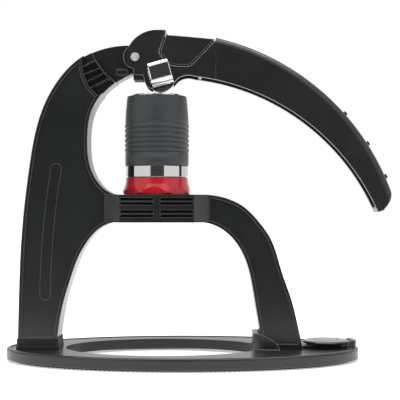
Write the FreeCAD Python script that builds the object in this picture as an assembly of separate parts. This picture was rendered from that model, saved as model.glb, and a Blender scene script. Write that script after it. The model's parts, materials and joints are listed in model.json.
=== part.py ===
import FreeCAD, Part
import math
import os

# A hand lever press for coffee: an oval cast base, a one-piece cast frame whose bridge carries
# the brewing head, and a long curved lever that hangs on one pin and presses the plunger down.
# Millimetres. X runs along the press, Y through it, Z up. The origin is on the table, under the
# middle of the whole press.

# Base ring
foot_height = 2.0
base_length = 277.0
base_width = 150.0
base_thickness = 8.5
base_centre_x = -12.5
base_edge_round = 1.8
opening_length = 155.0
opening_width = 109.6
opening_offset = 2.9
rim_width = 3.2
rim_step = 0.5
foot_inset = 5.0
foot_band = 6.0
foot_seat = 0.8

# Frame
frame_width = 34.0
foot_left_inset = 10.8
foot_left_length = 30.0
foot_right_length = 31.0
bridge_top = 130.0
bridge_height = 21.5
bridge_depth = 56.0
bridge_length = 57.4
bridge_facet = 10.0
rim_face = 2.4
web_sink = 1.6
tongue_width = 18.4
tongue_radius = 9.4
seat_bore = 41.0
slot_height = 5.6
slot_depth = 7.0
slot_post = 5.4
fin_thickness = 1.2
fin_sink = 0.7
heel_groove_radius = 0.6
louvre_depth = 5.5
louvre_fin = 0.8
thumb_panel_width = 8.0
thumb_panel_sink = 0.8

# Rear shoe and tenon
shoe_floor = 3.0
shoe_height = 7.9
shoe_wall = 0.9
shoe_flange = 0.5
tenon_length = 16.0
tenon_width = 18.0
tenon_depth = 6.0

# Socket wall, toe plate and lock knob at the front foot
socket_wall = 3.2
socket_lean_room = 2.4
socket_corner = 11.0
socket_height = 12.3
socket_reach = 13.0
toe_width = 20.0
toe_thickness = 1.9
knob_inset = 25.3
knob_radius = 18.4
knob_gap = 1.3
knob_rim_height = 3.1
knob_lift = 2.6
knob_hub_radius = 6.5
stud_radius = 4.0
insert_radius = 6.0
washer_radius = 8.0
washer_thickness = 0.5
end_wall_gap = 0.7
end_wall_thickness = 4.8
end_wall_height = 6.0
end_wall_width = 20.0

# Brewing head, from the bridge up
head_x = -32.8
holder_height = 13.7
holder_top_radius = 24.4
holder_foot_radius = 27.2
holder_flat = 25.7
holder_flats = 8
spigot_radius = 20.2
spigot_depth = 15.0
band_height = 8.9
band_radius = 24.55
cylinder_bore = 36.0
cylinder_wall = 3.0
sleeve_height = 54.8
sleeve_top_radius = 23.2
sleeve_radius = 24.8
sleeve_corner = 2.6
rib_count = 6
rib_pitch = 3.76
rib_first = 23.5
rib_round = 0.95
cap_radius = 20.0
cap_rise = 1.3
cap_spigot = 5.0
button_radius = 9.0
button_rise = 1.1
stem_radius = 7.0
piston_height = 13.0
piston_floor = 3.0
ring_inset = 3.4
ring_round = 1.3
basket_radius = 18.0
basket_depth = 22.0
sheet = 0.8
hole_radius = 0.75

# Lever, from its pivot
pivot_back = 19.6
pivot_up = 14.9
lever_width = 28.0
lever_end_width = 22.8
lever_wall = 3.1
lobe_radius = 9.2
pin_lobe_radius = 12.8
lever_reach = 200.4
top_arc_radius = 190.3
bottom_arc_radius = 179.4
handle_rise = 15.5
nose_reach = 2.2
nose_drop = 98.7
nose_depth = 22.5
heel_back = 8.4
lip_along = 46.4
lip_drop = 15.0
hood_facet_angle = 4.0
handle_start = 62.9
handle_round = 5.0
saddle_sink = 1.2
saddle_gap = 1.4
saddle_top = 1.4
rib_wall = 2.4
pin_radius = 3.0
pin_head_radius = 3.35
bush_wall = 2.0
flange_radius = 6.6
flange_thickness = 1.2
stud_round = 1.8
stud_height = 2.6
stud_count = 3
stud_pitch = 29.4
stud_inset = 4.5

# Yoke
yoke_lean = 15.5
press_gap = 0.3
press_foot_radius = 12.3
pin_ahead = 3.0
plate_length = 16.9
plate_height = 20.5
plate_above_pin = 12.2
plate_thickness = 5.2
plate_shift = 0.7
plate_top_band = 4.9
plate_top_back = 3.6
plate_low_band = 4.9
plate_low_back = 2.3
plate_edge = 0.7
ridge_round = 0.9
ridge_pitch = 2.6
ridge_count = 4

# Clearances
slide_gap = 0.05
fit_gap = 0.15
loose_gap = 0.3

# Heights and places that follow
base_left = base_centre_x - base_length / 2
base_right = base_centre_x + base_length / 2
foot_left_x = base_left + foot_left_inset
foot_left_end = foot_left_x + foot_left_length
knob_x = base_right - knob_inset
foot_right_end = knob_x - knob_radius - knob_gap
foot_right_x = foot_right_end - foot_right_length
opening_centre_x = (foot_left_end + foot_right_x) / 2 + opening_offset
base_bottom = foot_height
base_top = foot_height + base_thickness
deck = base_top - rim_step
bridge_bottom = bridge_top - bridge_height
holder_top = bridge_top + holder_height
band_top = holder_top + band_height
sleeve_top = band_top + sleeve_height
cap_top = sleeve_top + cap_rise
button_top = cap_top + button_rise
pin_x = head_x + pin_ahead
pin_z = button_top + press_gap + press_foot_radius
pivot_x = pin_x - pivot_back
pivot_z = pin_z + pivot_up
half_frame = frame_width / 2
half_lever = lever_width / 2
half_tongue = tongue_width / 2
column_bottom = deck + shoe_floor
bore_radius = cylinder_bore / 2
tube_radius = bore_radius + cylinder_wall
recess_radius = basket_radius + 3.3
nose_x = lever_reach - nose_reach
heel_x = nose_x - heel_back
far = 400.0


def point(x, z, y=0.0):
    return FreeCAD.Vector(x, y, z)


def from_pivot(dx, dz):
    """A place given from the lever's pivot."""
    return pivot_x + dx, pivot_z + dz


def from_pin(angle, radius):
    """A place on a circle round the yoke's pin, by its angle in degrees."""
    turn = math.radians(angle)
    return pin_x + radius * math.cos(turn), pin_z + radius * math.sin(turn)


def on_yoke(dx, dz):
    """A place given from the yoke's pin in the yoke's own leaning axes."""
    lean = math.radians(yoke_lean)
    x = pin_x + dx * math.cos(lean) - dz * math.sin(lean)
    return x, pin_z + dx * math.sin(lean) + dz * math.cos(lean)


def arc_centre(start, end, radius):
    """The centre, below and behind, of the arc of this radius from one place to another."""
    half = math.dist(start, end) / 2
    away = math.sqrt(radius**2 - half**2)
    along = ((end[0] - start[0]) / 2 / half, (end[1] - start[1]) / 2 / half)
    return (start[0] + end[0]) / 2 + along[1] * away, (start[1] + end[1]) / 2 - along[0] * away


def top_arc_centre():
    """The centre of the handle's top arc, from the pivot."""
    return arc_centre((handle_start, handle_rise), (nose_x, -nose_drop), top_arc_radius)


def bottom_arc_centre():
    """The centre of the handle's lower arc, from the pivot."""
    return arc_centre((lip_along, -lip_drop), (heel_x, -nose_drop - nose_depth), bottom_arc_radius)


def arc_z(dx, centre, radius):
    return centre[1] + math.sqrt(radius**2 - (dx - centre[0]) ** 2)


def top_arc_z(dx):
    """Height of the handle's top above the pivot."""
    return arc_z(dx, top_arc_centre(), top_arc_radius)


def bottom_arc_z(dx):
    """Height of the handle's lower edge above the pivot."""
    return arc_z(dx, bottom_arc_centre(), bottom_arc_radius)


def straight(a, b):
    return Part.LineSegment(point(*a), point(*b)).toShape()


def arc(a, b, c):
    return Part.Arc(point(*a), point(*b), point(*c)).toShape()


def curve(points):
    spline = Part.BSplineCurve()
    spline.interpolate([point(x, z) for x, z in points])
    return spline.toShape()


def chain(points):
    return [straight(a, b) for a, b in zip(points, points[1:])]


def slab(edges, low_y, high_y):
    """A solid with a closed outline in the XZ plane, from low_y to high_y."""
    face = Part.Face(Part.Wire(edges))
    face.translate(FreeCAD.Vector(0, low_y, 0))
    return face.extrude(FreeCAD.Vector(0, high_y - low_y, 0))


def polygon_slab(points, low_y, high_y):
    return slab(chain(points + points[:1]), low_y, high_y)


def block(low_x, high_x, low_y, high_y, low_z, high_z):
    size = (high_x - low_x, high_y - low_y, high_z - low_z)
    return Part.makeBox(*size, FreeCAD.Vector(low_x, low_y, low_z))


def post(x, radius, low_z, high_z):
    """An upright round bar on the centre plane."""
    return Part.makeCylinder(radius, high_z - low_z, FreeCAD.Vector(x, 0, low_z))


def cross_bar(place, radius, low_y, high_y):
    """A round bar along Y."""
    start = FreeCAD.Vector(place[0], low_y, place[1])
    return Part.makeCylinder(radius, high_y - low_y, start, FreeCAD.Vector(0, 1, 0))


def oval(length, width, centre_x, low_z, high_z):
    ring = Part.Ellipse(FreeCAD.Vector(centre_x, 0, low_z), length / 2, width / 2)
    return Part.Face(Part.Wire(ring.toShape())).extrude(FreeCAD.Vector(0, 0, high_z - low_z))


def turned(x, profile):
    """A solid of revolution about an upright axis, from (radius, height) points."""
    corners = [FreeCAD.Vector(radius, 0, height) for radius, height in profile]
    face = Part.Face(Part.makePolygon(corners + corners[:1]))
    solid = face.revolve(FreeCAD.Vector(0, 0, 0), FreeCAD.Vector(0, 0, 1), 360)
    solid.translate(FreeCAD.Vector(x, 0, 0))
    return solid


def plan_prism(corners, low_z, high_z):
    flat = [FreeCAD.Vector(x, y, low_z) for x, y in corners]
    return Part.Face(Part.makePolygon(flat + flat[:1])).extrude(FreeCAD.Vector(0, 0, high_z - low_z))


def rounded_plan(low_x, high_x, half_y, corner, low_z, high_z):
    """An upright block with rounded corners in plan."""
    solid = block(low_x, high_x, -half_y, half_y, low_z, high_z)
    upright = [edge for edge in solid.Edges if abs(edge.tangentAt(edge.FirstParameter).z) > 0.9]
    return solid.makeFillet(corner, upright)


def mirrored(solid):
    return solid.mirror(FreeCAD.Vector(0, 0, 0), FreeCAD.Vector(0, 1, 0))


def both_sides(solid):
    return [solid, mirrored(solid)]


def edges_near(solid, test):
    """Edges whose middle point passes the test."""
    found = []
    for edge in solid.Edges:
        middle = edge.valueAt((edge.FirstParameter + edge.LastParameter) / 2)
        if test(middle, edge):
            found.append(edge)
    return found


def save(name, *solids):
    shape = solids[0] if len(solids) == 1 else Part.makeCompound(list(solids))
    shape.exportStep("parts/" + name + ".step")
    for solid in shape.Solids:
        assert solid.isValid(), name
    print(name, len(shape.Solids), round(shape.Volume))


# Base


def socket_wall_solid():
    """The cast wall that hugs the inner half of the front foot, falling away along it."""
    inner_x = foot_right_x - socket_lean_room
    wall_x = inner_x - socket_wall - 2.0
    half_inner = half_frame + loose_gap
    low = base_bottom + 1
    outer = rounded_plan(wall_x, foot_right_end, half_inner + socket_wall, socket_corner,
                         low, deck + socket_height)
    inner = rounded_plan(inner_x, foot_right_end + 20, half_inner, 0.8, deck, far)
    end_x = foot_right_x + socket_reach
    lip = curve([(wall_x - 1, deck + socket_height), (foot_right_x - 4, deck + socket_height),
                 (foot_right_x + 2.2, deck + socket_height * 0.84),
                 (foot_right_x + 8, deck + socket_height * 0.58),
                 (end_x - 1.2, deck + socket_height * 0.2), (end_x, deck + 0.2)])
    sides = chain([(end_x, deck + 0.2), (end_x, low), (wall_x - 1, low), (wall_x - 1, deck + socket_height)])
    return outer.cut(inner).common(slab([lip] + sides, -far, far))


def end_wall_solid():
    """The short curved wall that guards the knob at the base's tip."""
    inner = knob_radius + end_wall_gap
    low = base_bottom + 1
    top = deck + end_wall_height
    ring = post(knob_x, inner + end_wall_thickness, low, top).cut(post(knob_x, inner, low, top))
    wall = ring.common(block(knob_x, far, -end_wall_width / 2, end_wall_width / 2, low, top))
    return wall.makeFillet(1.6, edges_near(wall, lambda m, e: m.z > top - 0.1))


def base_ring():
    body = oval(base_length, base_width, base_centre_x, base_bottom, base_top)
    top_edge = edges_near(body, lambda m, e: m.z > base_top - 0.1)
    body = body.makeFillet(base_edge_round, top_edge)
    step = oval(base_length - 2 * rim_width, base_width - 2 * rim_width, base_centre_x, deck, base_top + 1)
    groove_out = 2 * rim_width
    groove_in = groove_out + 2.2
    groove = oval(base_length - groove_out, base_width - groove_out, base_centre_x, deck - 0.6, deck + 0.1)
    groove = groove.cut(oval(base_length - groove_in, base_width - groove_in, base_centre_x, 0, far))
    body = body.cut(step).cut(groove)
    body = body.cut(foot_ring(0.0, fit_gap))
    opening = oval(opening_length, opening_width, opening_centre_x, 0, far)
    body = body.cut(opening).fuse([socket_wall_solid(), end_wall_solid()])
    tenon_hole = block(*tenon_span(fit_gap), 0, far)
    insert_hole = post(knob_x, insert_radius + slide_gap, 0, far)
    body = body.cut([tenon_hole, insert_hole])
    whole = oval(base_length, base_width, base_centre_x, 0, far)
    return body.common(whole).removeSplitter()


def foot_ring(sink, grow):
    """The soft ring under the base, pressed into a groove."""
    outer = 2 * (foot_inset - grow)
    inner = 2 * (foot_inset + foot_band + grow)
    low = sink
    high = base_bottom + foot_seat + grow
    ring = oval(base_length - outer, base_width - outer, base_centre_x, low, high)
    return ring.cut(oval(base_length - inner, base_width - inner, base_centre_x, low - 1, far))


def threaded_insert():
    low = base_bottom + 0.4
    sleeve = post(knob_x, insert_radius, low, deck).cut(post(knob_x, stud_radius + slide_gap, 0, far))
    return sleeve


def tenon_span(grow):
    middle = foot_left_x + foot_left_length / 2
    half = tenon_length / 2 + grow
    return middle - half, middle + half, -tenon_width / 2 - grow, tenon_width / 2 + grow


def rear_shoe():
    """The soft liner that the column's foot stands in."""
    low_x = foot_left_x - shoe_wall
    high_x = foot_left_end + shoe_wall + 0.4
    half_y = half_frame + shoe_wall
    shoe = rounded_plan(low_x, high_x, half_y, 2.0, deck, deck + shoe_height)
    flange = rounded_plan(low_x - shoe_flange, high_x + shoe_flange, half_y + shoe_flange, 2.4,
                          deck, deck + shoe_floor - 0.6)
    shoe = shoe.fuse(flange)
    pocket = block(foot_left_x - fit_gap, foot_left_end + 0.4 + fit_gap, -half_frame - fit_gap,
                   half_frame + fit_gap, column_bottom, far)
    return shoe.cut([pocket, block(*tenon_span(fit_gap), 0, far)])


# Frame casting


def outer_line():
    """Places up the rear of the column and over the arch."""
    left = foot_left_x
    return [(left, column_bottom), (left + 0.9, deck + 40), (left + 3.2, deck + 90),
            (left + 8.8, deck + 140), from_pivot(-70.1, -37.3), from_pivot(-58.7, -17.5),
            from_pivot(-42.1, -1.1), from_pivot(-20.6, 7.8), from_pivot(-3.0, tongue_radius)]


def throat_line():
    """Places from the tongue's heel down the throat behind the head to the bridge."""
    return [from_pivot(-1.8, -12.5), from_pivot(-6.6, -15.0), from_pivot(-18.6, -22.3),
            from_pivot(-28.1, -32.3), from_pivot(-33.6, -42.3), from_pivot(-36.6, -57.3),
            (head_x - 53.5, bridge_top + 40), (head_x - 50.7, bridge_top + 20),
            (head_x - 45.5, bridge_top + 10), (head_x - 36.7, bridge_top + 2), (bridge_left(), bridge_top)]


def shoulder_line():
    """Places from the bridge over the shoulder and down the front of the right leg."""
    front = foot_right_x
    heel = foot_right_end
    start = bridge_right() + bridge_facet
    across = front - start
    return [(start, bridge_top), (start + 0.3 * across, bridge_top - 2.2),
            (start + 0.645 * across, bridge_top - 9), (start + 0.9 * across, bridge_top - 19.6),
            (front + 6.5, bridge_top - 35.1), (front + 14.2, bridge_top - 58.4),
            (heel - 8.8, deck + 38.4), (heel - 4.9, deck + 22.9), (heel, deck)]


def leg_line():
    """Places up the inside of the right leg to the underside of the bridge."""
    front = foot_right_x
    end = bridge_right() + 7
    across = front - end
    return [(front, deck), (front - 3.6, deck + 22.9), (front - 6.3, deck + 38.4),
            (end + 0.77 * across, bridge_bottom - 37.4), (end + 0.665 * across, bridge_bottom - 24),
            (end + 0.34 * across, bridge_bottom - 6), (end, bridge_bottom)]


def column_line():
    """Places from the underside of the bridge down the inside of the column."""
    rear = foot_left_end
    across = bridge_left() - rear
    return [(bridge_left(), bridge_bottom), (rear + 0.7 * across, bridge_bottom - 3.8),
            (rear + 0.6 * across, bridge_bottom - 7.8), (rear + 0.49 * across, bridge_bottom - 14.4),
            (rear + 0.345 * across, bridge_bottom - 26.7), (rear + 0.205 * across, bridge_bottom - 46.1),
            (rear + 6.3, deck + 40), (rear + 2.1, deck + 20), (rear, column_bottom)]


def closed_run(*runs):
    """Curves through each run of places, joined end to end by straight lines into a ring."""
    edges = []
    for index, run in enumerate(runs):
        edges.append(curve(run) if len(run) > 2 else straight(*run))
        start = runs[(index + 1) % len(runs)][0]
        if math.dist(run[-1], start) > 0.001:
            edges.append(straight(run[-1], start))
    return edges


def drawn_in(places, amount):
    """The same run of places, moved to its right-hand side, square to the run."""
    moved = []
    for index, place in enumerate(places):
        before = places[max(index - 1, 0)]
        after = places[min(index + 1, len(places) - 1)]
        run = math.dist(before, after)
        moved.append((place[0] + (after[1] - before[1]) / run * amount,
                      place[1] - (after[0] - before[0]) / run * amount))
    return moved


def frame_side():
    """The whole casting's side view as a flat-sided body."""
    nose_top = from_pivot(0, tongue_radius)
    nose_low = from_pivot(3.4, -8.76)
    nose = arc(nose_top, from_pivot(tongue_radius, 0), nose_low)
    heel_up = from_pivot(-1.8, -9.2)
    outer = outer_line()
    throat = throat_line()
    over = [curve(outer), straight(outer[-1], nose_top), nose, straight(nose_low, heel_up),
            straight(heel_up, throat[0])]
    under = closed_run(throat, shoulder_line(), leg_line(), column_line())[:-1]
    return slab(over + under + [straight(column_line()[-1], outer[0])], -half_frame, half_frame)


def bridge_left():
    return head_x - bridge_length / 2 + 0.7


def bridge_right():
    return bridge_left() + bridge_length


def neck_line():
    """Places down the curved step where the casting narrows to the lever's tongue."""
    return [from_pivot(-34.6, 8.0), from_pivot(-30.4, -3.0), from_pivot(-26.2, -8.7),
            from_pivot(-23.3, -12.7), from_pivot(-19.1, -16.5), from_pivot(-12.2, -22.5)]


def fin_line():
    """Places down the outer end of the louvre of five pockets beside that step."""
    return [from_pivot(-42.2, -2.0), from_pivot(-41.7, -8.9), from_pivot(-40.4, -14.4),
            from_pivot(-38.3, -20.0), from_pivot(-35.4, -25.0), from_pivot(-29.4, -31.0)]


def louvre_pocket(index):
    """One slanted pocket of the louvre, between two fins."""
    outer = fin_line()
    inner = neck_line()
    corners = [outer[index], inner[index], inner[index + 1], outer[index + 1]]
    middle_x = sum(x for x, z in corners) / 4
    middle_z = sum(z for x, z in corners) / 4
    shrunk = []
    for x, z in corners:
        reach = math.hypot(x - middle_x, z - middle_z)
        keep = 1 - louvre_fin / reach
        shrunk.append((middle_x + (x - middle_x) * keep, middle_z + (z - middle_z) * keep))
    return polygon_slab(shrunk, -half_frame - 1, -half_frame + louvre_depth)


def frame_casting():
    body = frame_side().fuse(bridge_platform())
    for cut in both_sides(neck_cut()):
        body = body.cut(cut)
    for index in range(5):
        body = body.cut(both_sides(louvre_pocket(index)))
    for web in sunk_webs():
        body = body.cut(both_sides(web))
    body = body.cut(both_sides(thumb_panel()))
    body = body.cut(bridge_slots())
    body = body.cut(heel_grooves())
    body = body.cut(post(head_x, seat_bore / 2, 0, pivot_z - 20))
    tenon = block(*tenon_span(0), deck - tenon_depth, column_bottom)
    bush_hole = cross_bar((pivot_x, pivot_z), pin_radius + bush_wall, -far, far)
    body = body.fuse([tenon, toe_plate()] + both_sides(stop_frame())).cut(bush_hole)
    return body.removeSplitter()


def bridge_platform():
    """The wider part of the bridge under the brewing head, with facets at its four corners."""
    half = bridge_depth / 2
    left = bridge_left()
    right = bridge_right()
    slant = half - half_frame
    corners = [(left - slant, -half_frame), (left, -half), (right, -half), (right + slant, -half_frame),
               (right + slant, half_frame), (right, half), (left, half), (left - slant, half_frame)]
    return plan_prism(corners, bridge_bottom, bridge_top)


def neck_cut():
    """What is taken off one side so that the lever's cheek can pass over the tongue."""
    line = neck_line()
    step = curve(line)
    rest = chain([line[-1], from_pivot(20, -22.5), from_pivot(20, 30), from_pivot(-34.6, 30), line[0]])
    return slab([step] + rest, -half_frame - 1, -half_tongue)


def sunk_webs():
    """The faces of the casting between its raised rims, on one side: column and arch, then leg."""
    outer_y = -half_frame - 1
    inner_y = -half_frame + web_sink
    column = slab(closed_run(drawn_in(outer_line(), rim_face), drawn_in(throat_line(), rim_face),
                             drawn_in(column_line(), rim_face)), outer_y, inner_y)
    leg = slab(closed_run(drawn_in(shoulder_line(), rim_face), drawn_in(leg_line(), rim_face)),
               outer_y, inner_y)
    slant = bridge_depth / 2 - half_frame
    left_edge = bridge_left() - slant - 0.8
    louvre = [(x - 1.4, z - 0.5) for x, z in fin_line()]
    boundary = [(left_edge, column_bottom + 6.5), (left_edge, louvre[-1][1])] + louvre[::-1]
    boundary += [(louvre[0][0] - 2, far), (-far, far), (-far, column_bottom + 6.5)]
    leg_room = block(bridge_right() + slant + 0.8, far, -far, far, deck + 4, far)
    return [column.common(polygon_slab(boundary, -far, far)), leg.common(leg_room)]


def thumb_panel():
    """A plain shallow panel with round ends down the middle of the column."""
    low = (foot_left_x + 21.0, deck + 42)
    middle = (foot_left_x + 23.5, deck + 92)
    high = (foot_left_x + 29.5, deck + 140)
    half = thumb_panel_width / 2
    face_y = -half_frame + web_sink
    left = arc((low[0] - half, low[1]), (middle[0] - half, middle[1]), (high[0] - half, high[1]))
    right = arc((high[0] + half, high[1]), (middle[0] + half, middle[1]), (low[0] + half, low[1]))
    top = arc((high[0] - half, high[1]), (high[0] + 1, high[1] + half), (high[0] + half, high[1]))
    bottom = arc((low[0] + half, low[1]), (low[0] - 0.3, low[1] - half), (low[0] - half, low[1]))
    return slab([left, top, right, bottom], face_y - 1, face_y + thumb_panel_sink)


def bridge_slots():
    """Two rows of two slots in the front and back of the bridge, each with a thin fin inside."""
    slots = []
    half = bridge_depth / 2
    pitch = bridge_height - 2 * rim_face - 2 * slot_height
    low_row = bridge_bottom + rim_face + 1.6
    left = bridge_left() + 0.8
    right = bridge_right() - 0.8
    centre = head_x + 0.9
    for row in range(2):
        low = low_row + row * (slot_height + pitch - 1.6)
        for start, end in ((left, centre - slot_post / 2), (centre + slot_post / 2, right)):
            slot = block(start, end, -half - 1, -half + slot_depth, low, low + slot_height)
            fin_low = low + (slot_height - fin_thickness) / 2
            fin = block(start, end, -half + fin_sink, 0, fin_low, fin_low + fin_thickness)
            slots.extend(both_sides(slot.cut(fin)))
    return slots


def heel_grooves():
    """A short run of small grooves across the arch's underside, behind the tongue's heel."""
    first = from_pivot(-3.2, -13.3)
    last = from_pivot(-13.0, -18.8)
    count = 7
    bars = []
    for index in range(count):
        share = index / (count - 1)
        place = (first[0] + (last[0] - first[0]) * share, first[1] + (last[1] - first[1]) * share)
        bars.append(cross_bar(place, heel_groove_radius, -far, far))
    return bars


def stop_frame():
    """A small raised frame on the tongue's side, beside the lever's lobe."""
    low_x, low_z = from_pivot(-14.8, -14.0)
    outer = block(low_x, low_x + 9.4, -half_tongue - 0.9, -half_tongue + 0.5, low_z, low_z + 4.9)
    inner = block(low_x + 0.8, low_x + 8.6, -far, -half_tongue, low_z + 0.9, low_z + 4.0)
    return outer.cut(inner)


def toe_plate():
    """The forked toe of the front foot that the knob clamps."""
    start = foot_right_end - 6
    end = knob_x + knob_radius - 3.4
    half = toe_width / 2
    plate = rounded_plan(start, end, half, 4.0, deck, deck + toe_thickness)
    slot = block(knob_x, far, -stud_radius - loose_gap, stud_radius + loose_gap, 0, far)
    return plate.cut([slot, post(knob_x, stud_radius + loose_gap, 0, far)])


# Lock knob


def knob_base_z():
    return deck + toe_thickness + washer_thickness


def lock_knob():
    low = knob_base_z()
    rim = deck + knob_lift
    top = rim + knob_rim_height
    disc = turned(knob_x, [(0, low), (knob_hub_radius, low), (knob_hub_radius, rim),
                           (knob_radius - 2.4, rim), (knob_radius - 0.4, rim + 1.0), (knob_radius, rim + 2.0),
                           (knob_radius - 0.5, top - 0.5), (knob_radius - 2, top), (0, top + 0.5)])
    ring = turned(knob_x, [(9.0, top - 0.5), (9.9, top - 0.5), (9.9, top + 2), (9.0, top + 2)])
    return disc.cut([ring, post(knob_x, stud_radius - 0.6, 0, low + 2.4)])


def knob_stud():
    low = base_bottom + 1.0
    neck = knob_base_z()
    return post(knob_x, stud_radius, low, neck).fuse(post(knob_x, stud_radius - 0.6, low, neck + 2.4))


def knob_washer():
    low = deck + toe_thickness
    disc = post(knob_x, washer_radius, low, low + washer_thickness)
    return disc.cut(post(knob_x, stud_radius + slide_gap, 0, far))


# Brewing head


def portafilter_holder():
    """The coloured holder: a flared skirt with broad flats on the bridge, and a spigot in its bore."""
    low = bridge_top
    profile = [(basket_radius + 1.2, low - spigot_depth), (spigot_radius, low - spigot_depth),
               (spigot_radius, low), (holder_foot_radius - 3.0, low), (holder_foot_radius - 1.0, low + 0.5),
               (holder_foot_radius, low + 1.6), (holder_foot_radius - 0.1, low + 3.0),
               (holder_foot_radius - 1.3, low + 5.4), (holder_top_radius + 0.4, low + 8.5),
               (holder_top_radius, low + 11.2), (holder_top_radius, holder_top - 0.6),
               (holder_top_radius - 0.5, holder_top), (basket_radius + 1.2, holder_top)]
    shell = turned(head_x, profile)
    corner = holder_flat / math.cos(math.pi / holder_flats)
    ring = []
    for index in range(holder_flats):
        angle = math.radians(-26) + 2 * math.pi * index / holder_flats
        ring.append((head_x + corner * math.sin(angle), -corner * math.cos(angle)))
    return shell.common(plan_prism(ring, low - spigot_depth, holder_top))


def holes(radius_step, rings, low, high):
    """Round holes on rings about the head's axis."""
    found = [post(head_x, hole_radius, low, high)]
    for ring in range(1, rings + 1):
        for index in range(6 * ring):
            angle = math.pi * index / (3 * ring)
            reach = radius_step * ring
            found.append(found[0].translated(
                FreeCAD.Vector(reach * math.cos(angle), reach * math.sin(angle), 0)))
    return found


def portafilter_basket():
    top = holder_top + sheet
    low = top - basket_depth
    outer = basket_radius + 1.2 - slide_gap
    cup = turned(head_x, [(0, low), (outer - 1.5, low), (outer, low + 1.5), (outer, holder_top),
                          (outer + 2.0, holder_top), (outer + 2.0, top), (outer - sheet, top),
                          (outer - sheet, low + 1.5), (outer - 1.7, low + sheet), (0, low + sheet)])
    return cup.cut(holes(3.2, 4, low - 1, low + sheet + 1))


def basket_gasket():
    low = holder_top + sheet
    inner = basket_radius + 0.3
    return turned(head_x, [(inner, low), (inner + 2.6, low), (inner + 2.6, low + 1.2), (inner, low + 1.2)])


def dispersion_screen():
    low = holder_top + sheet + 1.2
    disc = post(head_x, recess_radius - 0.3, low, low + sheet)
    return disc.cut(holes(3.4, 4, low - 1, low + sheet + 1))


def screen_seal():
    low = holder_top + 2 * sheet + 1.2
    inner = bore_radius - 0.4
    return turned(head_x, [(inner, low), (inner + 2.8, low), (inner + 2.8, low + 1.0), (inner, low + 1.0)])


def brew_cylinder():
    """The steel cylinder with its wide polished band at the foot."""
    seat = holder_top + 2 * sheet + 2.2
    top = sleeve_top - 0.6
    return turned(head_x, [(recess_radius, holder_top), (band_radius - 0.4, holder_top),
                           (band_radius, holder_top + 0.4), (band_radius, band_top - 0.4),
                           (band_radius - 0.4, band_top), (tube_radius, band_top), (tube_radius, top),
                           (bore_radius, top), (bore_radius, seat),
                           (recess_radius, seat)])


def silicone_sleeve():
    """The soft grip round the cylinder: slightly fuller below, with grip rings."""
    inner = tube_radius + fit_gap
    low = band_top
    shoulder = sleeve_top - sleeve_corner
    full = sleeve_top - rib_first - rib_pitch * rib_count
    lip = cap_radius + fit_gap
    profile = [(inner, low), (sleeve_radius - 0.5, low), (sleeve_radius, low + 0.6),
               (sleeve_radius, full), (sleeve_radius - 0.3, sleeve_top - rib_first + 4),
               (sleeve_top_radius, shoulder), (sleeve_top_radius - 0.8, sleeve_top - 0.7),
               (sleeve_top_radius - 2.2, sleeve_top), (lip, sleeve_top), (lip, sleeve_top - 0.45),
               (inner, sleeve_top - 0.45)]
    body = turned(head_x, profile)
    for index in range(rib_count):
        centre = FreeCAD.Vector(head_x, 0, sleeve_top - rib_first - index * rib_pitch)
        body = body.fuse(Part.makeTorus(sleeve_radius - 0.35, rib_round, centre))
    return body


def cylinder_cap():
    low = sleeve_top - 0.6
    spigot = bore_radius - slide_gap
    hole = stem_radius + slide_gap
    return turned(head_x, [(hole, low - cap_spigot), (spigot, low - cap_spigot), (spigot, low),
                           (cap_radius, low), (cap_radius, cap_top - 0.4), (cap_radius - 0.4, cap_top),
                           (hole, cap_top)])


def piston_top():
    return holder_top + 2 * sheet + piston_floor + piston_height


def piston():
    low = piston_top() - piston_height
    body = post(head_x, bore_radius - 0.1, low, piston_top())
    for z in ring_heights():
        groove = Part.makeTorus(bore_radius - ring_round - slide_gap, ring_round + 0.02,
                                FreeCAD.Vector(head_x, 0, z))
        body = body.cut(groove)
    return body.cut(post(head_x, stem_radius - 2.5, piston_top() - 6, piston_top() + 1))


def ring_heights():
    low = piston_top() - piston_height
    return [low + ring_inset, low + piston_height - ring_inset]


def piston_seals():
    centre = [FreeCAD.Vector(head_x, 0, z) for z in ring_heights()]
    return [Part.makeTorus(bore_radius - ring_round - slide_gap, ring_round, c) for c in centre]


def plunger_stem():
    low = piston_top()
    rod = post(head_x, stem_radius, low, cap_top + 0.1)
    return rod.fuse(post(head_x, stem_radius - 2.5 - slide_gap, low - 6, cap_top + 0.6))


def plunger_button():
    low = cap_top + 0.1
    disc = turned(head_x, [(0, low), (button_radius - 0.3, low), (button_radius, low + 0.3),
                           (button_radius - 0.3, button_top), (0, button_top)])
    return disc.cut(post(head_x, stem_radius - 2.5, low - 1, low + 0.5))


# Lever


def handle_end():
    """The places round the lever's free end."""
    end = -nose_drop
    return [(nose_x, end), (nose_x + 2.2, end - 6.4), (nose_x + 1.4, end - 11.9), (nose_x - 3.0, end - 19.1)]


def saddle_line():
    """Places along the saddle's top, from the hood to the handle."""
    return [from_pivot(25.6, 17.2), from_pivot(39.4, 16.1), from_pivot(handle_start - 0.6, 13.9)]


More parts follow.
